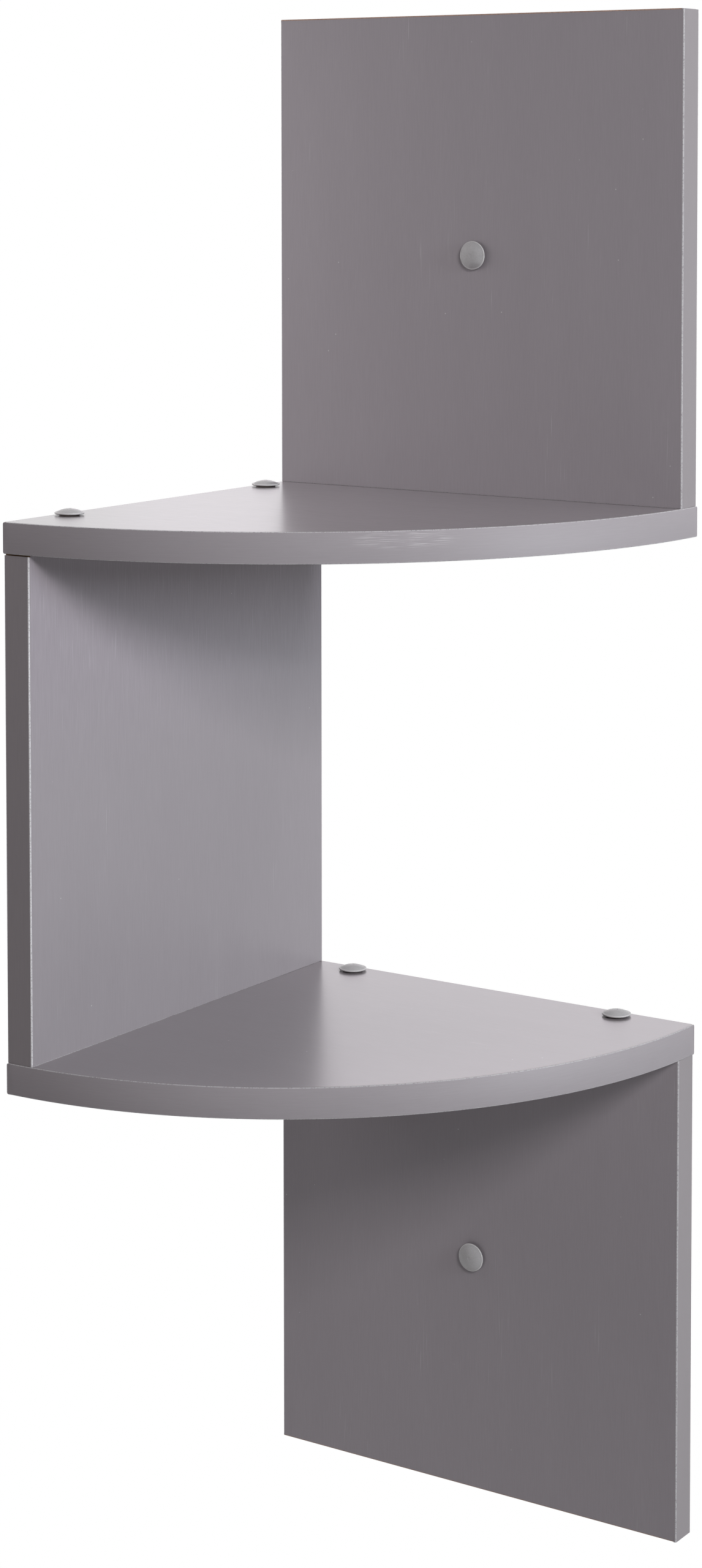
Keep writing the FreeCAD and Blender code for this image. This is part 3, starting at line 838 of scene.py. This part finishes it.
bmesh.ops.spin(
    one_cap, geom=one_cap.verts[:] + one_cap.edges[:], cent=(0, 0, 0), axis=(0, 0, 1),
    angle=math.tau, steps=CAP_STEPS, use_merge=True
)
bmesh.ops.remove_doubles(one_cap, verts=one_cap.verts, dist=MERGE)
bmesh.ops.recalc_face_normals(one_cap, faces=one_cap.faces)
for face in one_cap.faces:
    face.smooth = True
    middle = face.calc_center_median()
    # The bead's upper side gets the painted highlight.
    face.material_index = 1 if middle.xy.length > BEAD_AT and middle.z > BEAD_LEVEL else 0
add_peg(one_cap)
print("one cap has", len(one_cap.faces), "faces")

# %% [markdown]
# ## All ten caps
#
# Every cap is the same moulding, so the others are copies of its mesh. A cap on top of a shelf stands as it
# was drawn, one under a shelf is turned over, and one on a panel looks to the front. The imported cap's box
# says where each one goes. In the picture the two caps on the panels throw a wider shadow than the others,
# so they stand a little further out.

# %% Press the caps on
TURNS = {"top": 0, "under": math.pi, "wall": math.pi / 2}
STANDS_OUT = 0.3 * MM


def press_on(node, side):
    low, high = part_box(node)
    foot = (low + high) / 2
    if side == "top":
        foot.z = low.z - PEG_FOOT
    elif side == "under":
        foot.z = high.z + PEG_FOOT
    else:
        foot.y = high.y + PEG_FOOT - STANDS_OUT
    shape = one_cap.copy()
    place = Matrix.Translation(foot) @ Matrix.Rotation(TURNS[side], 4, "X")
    bmesh.ops.transform(shape, verts=shape.verts, matrix=place)
    piece = finish_piece(shape, node + "_moulded", [cap_plastic, cap_rim_highlight], "grey_cap", node)
    piece.data.set_sharp_from_angle(angle=CREASE)


cap_nodes = sorted(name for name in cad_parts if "cap" in name)
for name in cap_nodes:
    press_on(name, [side for side in TURNS if side in name][0])
one_cap.free()
print("caps pressed on:", len(cap_nodes))

# %% [markdown]
# ## The screws' zinc
#
# The screws are steel with a thin coat of zinc, painted dark brown as painted shade and a painted dark
# reflection. It is slightly cloudy, and the clouds vary the colour and the roughness. Most of each screw is
# hidden inside the boards: the heads show as the dark gap under the caps, and the wall screws' threads show
# behind the panels. The joint screws keep their imported meshes and only get the new finish.

# %% Plate the screws
BLOOM = 1.8 * MM
# Painted shade: the zinc's dark browns stand in for the shaded gap and the dark reflection in the heads.
ZINC_SHADE_BROWNS = paint(58, 52, 49), paint(78, 71, 67)
PLATED = (0.26, 0.42)

zinc, tree = new_finish("zinc_plating_shade_dark")
place = add(tree, "TexCoord").outputs["Object"]
bloom = stretched_noise(tree, place, along=BLOOM, across=BLOOM, detail=4)
colour = blend_colours(tree, spread(tree, bloom, 0.0, 1.0), *ZINC_SHADE_BROWNS)
lift = add(tree, "Bump", {"Strength": 0.2, "Distance": 0.01 * MM, "Height": bloom})
shader = add(tree, "BsdfPrincipled", {"Base Color": colour, "Metallic": 1.0, "Normal": lift.outputs[0]})
tree.links.new(spread(tree, bloom, *PLATED), shader.inputs["Roughness"])
add(tree, "OutputMaterial", {"Surface": shader.outputs[0]})

joint_screws = [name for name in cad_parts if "screw" in name and "wall" not in name]
for name in joint_screws:
    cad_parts[name].material_slots[0].material = zinc
print("plated joint screws:", len(joint_screws))

# %% [markdown]
# ## A screw thread
#
# In the CAD model a thread is a plain cylinder. On the wall screws it shows from behind, so they get a real
# one: one pitch of its outline, a valley and a crest, spun round and moved along a little at each step.
# Spin's dvec does that. Neighbouring turns share their edges, so they merge into one surface. It is cut
# square at the start and pinched to a point.

# %% Roll a thread
CREST, VALLEY, PITCH, POINT = 2.0 * MM, 1.45 * MM, 1.8 * MM, 5.0 * MM
VALLEY_END, CREST_START, CREST_END = -0.5 * PITCH, -0.27 * PITCH, -0.22 * PITCH
TURN_STEPS = 28
THREAD_MERGE = 0.002 * MM
TIP_CUT, TIP_SHARE = 0.02 * MM, 0.02


def cut_off(shape, place, outward):
    everything = shape.verts[:] + shape.edges[:] + shape.faces[:]
    bmesh.ops.bisect_plane(shape, geom=everything, plane_co=place, plane_no=outward, clear_outer=True)


def thread_shape(length):
    shape = bmesh.new()
    last = shape.verts.new((VALLEY, 0, -PITCH))
    for away, level in ((VALLEY, VALLEY_END), (CREST, CREST_START), (CREST, CREST_END), (VALLEY, 0)):
        last = draw_on(shape, last, away, level)
    turns = math.ceil(length / PITCH) + 1
    bmesh.ops.spin(
        shape, geom=shape.verts[:] + shape.edges[:], cent=(0, 0, 0), axis=(0, 0, 1),
        dvec=(0, 0, PITCH / TURN_STEPS), angle=math.tau * turns, steps=TURN_STEPS * turns
    )
    bmesh.ops.remove_doubles(shape, verts=shape.verts, dist=THREAD_MERGE)
    cut_off(shape, (0, 0, 0), -UP)
    cut_off(shape, (0, 0, length - TIP_CUT), UP)
    for point in shape.verts:
        pinch = min(1.0, max(TIP_SHARE, (length - point.co.z) / POINT))
        point.co.x *= pinch
        point.co.y *= pinch
    close_holes(shape)
    bmesh.ops.recalc_face_normals(shape, faces=shape.faces)
    return shape


print("the thread is", 2 * CREST / MM, "mm wide over its crests")

# %% [markdown]
# ## The wall screws
#
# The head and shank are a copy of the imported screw, cut off where the thread begins. The thread is turned to
# point into the wall, and its mesh is added to the same piece.

# %% Set the threads on the wall screws
THREAD_START = 0.5 * MM


def wall_screw(node):
    low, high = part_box(node)
    shape = merged_copy(node)
    cut_off(shape, (0, THREAD_START, 0), -FRONT)
    close_holes(shape)
    thread = thread_shape(high.y - THREAD_START)
    foot = (low + high) / 2
    foot.y = THREAD_START
    place = Matrix.Translation(foot) @ Matrix.Rotation(-math.pi / 2, 4, "X")
    bmesh.ops.transform(thread, verts=thread.verts, matrix=place)
    rolled = bpy.data.meshes.new(node + "_thread")
    thread.to_mesh(rolled)
    thread.free()
    shape.from_mesh(rolled)
    bpy.data.meshes.remove(rolled)
    for face in shape.faces:
        face.smooth = True
    piece = finish_piece(shape, node + "_threaded", [zinc], "zinc_steel", node)
    piece.data.set_sharp_from_angle(angle=CREASE)
    print(node, "has", len(piece.data.polygons), "faces")


wall_screw("upper_wall_screw")
wall_screw("lower_wall_screw")
